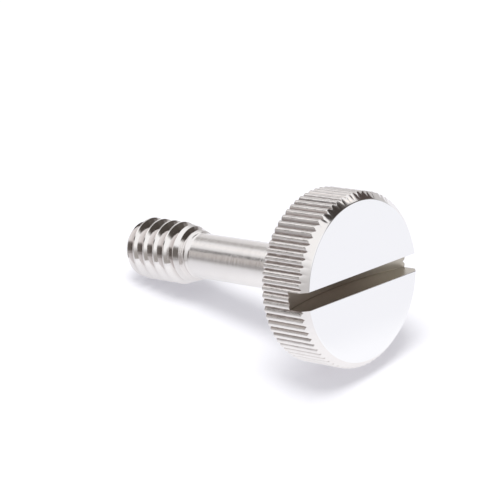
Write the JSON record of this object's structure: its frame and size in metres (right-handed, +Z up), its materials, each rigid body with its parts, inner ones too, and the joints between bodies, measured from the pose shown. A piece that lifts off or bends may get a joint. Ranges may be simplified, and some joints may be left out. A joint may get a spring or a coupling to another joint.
{
  "type": "captive thumb screw",
  "caption": "Slotted, knurled-head captive thumb screw in one piece: a thin plain shank under the head and a short coarse thread at the tip.",
  "frame": {"origin": "middle of the base of the box round the screw as it lies at rest on the rim of its head and on its thread", "axes": "+Z up; the screw's own axis lies over the X axis, with the slotted face toward +X and the threaded tip toward -X, drooping about 12.9 degrees to the tip"},
  "size_m": [0.0234, 0.0126, 0.0131],
  "materials": {
    "turned_steel": "bright turned stainless steel"
  },
  "bodies": {
    "root": {"thumb_screw": "turned_steel"}
  },
  "joints": []
}
